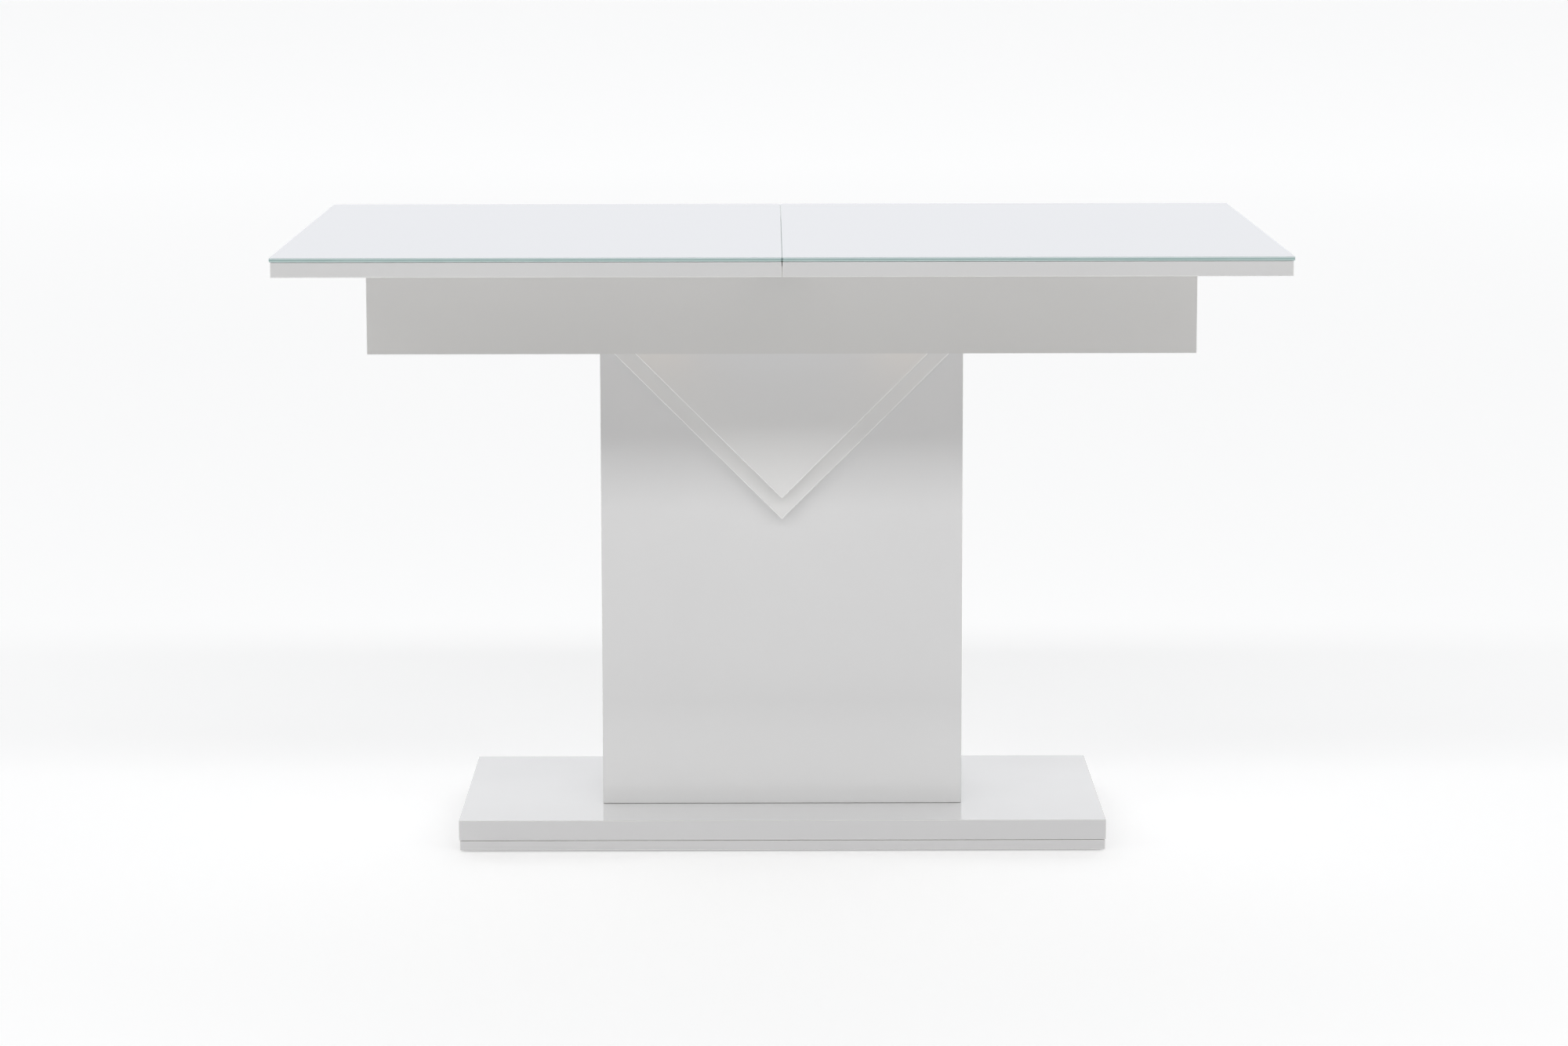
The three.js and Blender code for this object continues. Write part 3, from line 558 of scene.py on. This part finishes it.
def screws(name, body, places, axis):
    """A row of screws as one piece."""
    mesh = bmesh.new()
    for at in places:
        screw_into(mesh, at, axis)
    piece = finished(name, mesh)
    piece.data.materials.append(FINISHES["zinc_steel"])
    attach(piece, body)


def plate_screws(node):
    """Two screws through a lock plate, either side of its post."""
    low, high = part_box(node)
    middle = (low + high) / 2
    ends = (low.y + PLATE_SCREW_INSET, high.y - PLATE_SCREW_INSET)
    places = [(middle.x, y, high.z - PLATE_SHEET) for y in ends]
    screws(f"{node}_screws", BODY_OF[node], places, (0, 0, -1))


def runner_screws(node, side):
    """Screws up through a runner's flange into its top board."""
    low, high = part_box(node)
    flange_y = low.y + FLANGE_MIDDLE if side == "front" else high.y - FLANGE_MIDDLE
    end = max(low.x, high.x, key=abs)
    start = math.copysign(FLANGE_START, end)
    pitch = (end - start) / RUNNER_SCREWS
    places = [(start + pitch * (k + 0.5), flange_y, high.z - FLANGE) for k in range(RUNNER_SCREWS)]
    screws(f"{node}_screws", BODY_OF[node], places, (0, 0, -1))


def block_screws(node):
    """Two screws through a corner block's slanted face, into the corner of the apron."""
    low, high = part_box(node)
    middle = (low + high) / 2
    inward = Vector((-math.copysign(1, middle.x), -math.copysign(1, middle.y), 0)).normalized()
    places = [(middle.x, middle.y, low.z + (high.z - low.z) * share) for share in BLOCK_SCREW_HEIGHTS]
    screws(f"{node}_screws", "frame", places, inward)


def channel_screws(side):
    """Screws through a guide channel's wall into the apron behind it."""
    low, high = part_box(f"{side}_guide_channel")
    inward = 1 if side == "front" else -1
    wall_y = high.y if side == "front" else low.y
    z = (low.z + high.z) / 2 - CHANNEL_SCREW_DROP
    pitch = (high.x - low.x) / CHANNEL_SCREWS
    places = [(low.x + pitch * (k + 0.5), wall_y, z) for k in range(CHANNEL_SCREWS)]
    screws(f"{side}_channel_screws", "frame", places, (0, inward, 0))


for screwed_side in ("front", "back"):
    for end_name in ("left", "right"):
        runner_screws(f"{screwed_side}_{end_name}_runner", screwed_side)
        block_screws(f"corner_block_{screwed_side}_{end_name}")
    plate_screws(f"{screwed_side}_lock_plate")
    plate_screws(f"{screwed_side}_lock_strike")
    channel_screws(screwed_side)

# ---- Stage: floor, light and camera ----
# The camera stands in front, just left of the middle and above the top, and looks a little down.
CAMERA_AT = (-0.0145, -5.6482, 1.2288)
CAMERA_YAW = 0.0031
CAMERA_PITCH = 0.14894
CAMERA_ROLL = -0.0015
CAMERA_LENS = 103.4
FILM_WIDTH = 36.0
FAR_CLIP = 200.0

FLOOR_HALF = 60.0
# The floor's glow grows from near to far between these distances from the table.
NEAR_GLOW = 0.22
FAR_GLOW = 0.36
GLOW_SPREAD = (1.5, 12.0)

# The key light: its height as an angle, its distance, its size and what it is aimed at.
KEY_RISE = math.radians(42)
KEY_DISTANCE = 12.0
KEY_LENGTH = 38.0
KEY_HEIGHT = 1.9
KEY_POWER = 1055.0
KEY_AIM = Vector((0, -0.1, 0.5))

OVERHEAD = 0.36
# Each side of the studio: its light near the horizon, its light half way up, and its tint.
SIDES = {
    "front": (0.0, 0.10, (1.0, 0.998, 0.990)),
    "flanks": (0.72, 0.85, (1.0, 0.998, 0.992)),
    "back": (0.98, 1.76, (0.985, 0.993, 1.012)),
}
# Where one light fades into the next, as the part of a direction that points up, back or sideways.
HORIZON_TO_HALF_WAY = (0.20, 0.40)
HALF_WAY_TO_OVERHEAD = (0.60, 0.75)
FRONT_TO_BACK = (-0.25, 0.25)
MIDDLE_TO_FLANKS = (0.55, 0.80)


def add_floor():
    """A pale floor that glows like a lit backdrop, more so far off. It is clear from underneath."""
    mesh = bmesh.new()
    corners = ((-1, -1), (1, -1), (1, 1), (-1, 1))
    mesh.faces.new([mesh.verts.new((FLOOR_HALF * x, FLOOR_HALF * y, 0)) for x, y in corners])
    floor = finished("floor", mesh)
    material, tree, shader = tree_of("floor")
    white = mixed(tree, noise(tree, 0.8, 2.0), (0.955, 0.955, 0.955), (0.965, 0.965, 0.965))
    feed(tree, shader, Base_Color=white)
    shader.inputs["Roughness"].default_value = 0.8
    shader.inputs["Specular IOR Level"].default_value = 0.1
    shader.inputs["Emission Color"].default_value = (1, 1, 1, 1)
    distance = put(tree, "ShaderNodeVectorMath", {0: place(tree)}, operation="LENGTH").outputs["Value"]
    feed(tree, shader, Emission_Strength=spread(tree, distance, NEAR_GLOW, FAR_GLOW, *GLOW_SPREAD))
    underneath = put(tree, "ShaderNodeNewGeometry").outputs["Backfacing"]
    see_through = put(tree, "ShaderNodeBsdfTransparent").outputs[0]
    one_sided = put(tree, "ShaderNodeMixShader", {0: underneath, 1: shader.outputs[0], 2: see_through})
    tree.links.new(one_sided.outputs[0], tree.nodes["Material Output"].inputs["Surface"])
    floor.data.materials.append(material)


def add_light():
    """A long bank of soft lights in front of the table and above it, far enough off to light it evenly."""
    key = bpy.data.lights.new("key", "AREA")
    key.shape = "RECTANGLE"
    key.size = KEY_LENGTH
    key.size_y = KEY_HEIGHT
    key.energy = KEY_POWER
    lamp = bpy.data.objects.new("key", key)
    bpy.context.scene.collection.objects.link(lamp)
    towards = Vector((0, -math.cos(KEY_RISE), math.sin(KEY_RISE)))
    lamp.location = KEY_AIM + towards * KEY_DISTANCE
    lamp.rotation_euler = towards.to_track_quat("Z", "Y").to_euler()


def sky_profile(tree, height, side):
    """One side's light from the horizon, where height is 0, up to overhead, where it is 1."""
    low, middle, tint = SIDES[side]
    near_horizon, half_way, overhead = (shaded(tint, (level,) * 3) for level in (low, middle, OVERHEAD))
    rising = mixed(tree, spread(tree, height, 0, 1, *HORIZON_TO_HALF_WAY), near_horizon, half_way)
    return mixed(tree, spread(tree, height, 0, 1, *HALF_WAY_TO_OVERHEAD), rising, overhead)


def add_world():
    """A white studio: bright behind the table and at its flanks, less light from the camera's side."""
    world = bpy.data.worlds.new("studio")
    world.use_nodes = True
    bpy.context.scene.world = world
    tree = world.node_tree
    coords = put(tree, "ShaderNodeTexCoord")
    direction = put(tree, "ShaderNodeSeparateXYZ", {"Vector": coords.outputs["Generated"]})
    sideways = put(tree, "ShaderNodeMath", {0: direction.outputs["X"]}, operation="ABSOLUTE").outputs[0]
    front, flanks, back = (sky_profile(tree, direction.outputs["Z"], side) for side in SIDES)
    fore_and_aft = mixed(tree, spread(tree, direction.outputs["Y"], 0, 1, *FRONT_TO_BACK), front, back)
    light = mixed(tree, spread(tree, sideways, 0, 1, *MIDDLE_TO_FLANKS), fore_and_aft, flanks)
    tree.links.new(light, tree.nodes["Background"].inputs["Color"])


def add_camera():
    """The camera, turned by its yaw, its pitch downwards and its roll."""
    camera = bpy.data.cameras.new("camera")
    camera.sensor_width = FILM_WIDTH
    camera.lens = CAMERA_LENS
    camera.clip_end = FAR_CLIP
    eye = bpy.data.objects.new("camera", camera)
    bpy.context.scene.collection.objects.link(eye)
    level_right = Vector((math.cos(CAMERA_YAW), -math.sin(CAMERA_YAW), 0))
    level_forward = Vector((math.sin(CAMERA_YAW), math.cos(CAMERA_YAW), 0))
    forward = level_forward * math.cos(CAMERA_PITCH) - Vector((0, 0, math.sin(CAMERA_PITCH)))
    level_up = level_right.cross(forward)
    right = level_right * math.cos(CAMERA_ROLL) + level_up * math.sin(CAMERA_ROLL)
    up = right.cross(forward)
    turn = Matrix((right, up, -forward)).transposed().to_4x4()
    eye.matrix_world = Matrix.Translation(CAMERA_AT) @ turn
    bpy.context.scene.camera = eye


add_floor()
add_light()
add_world()
add_camera()
bpy.context.scene.view_settings.view_transform = "Standard"
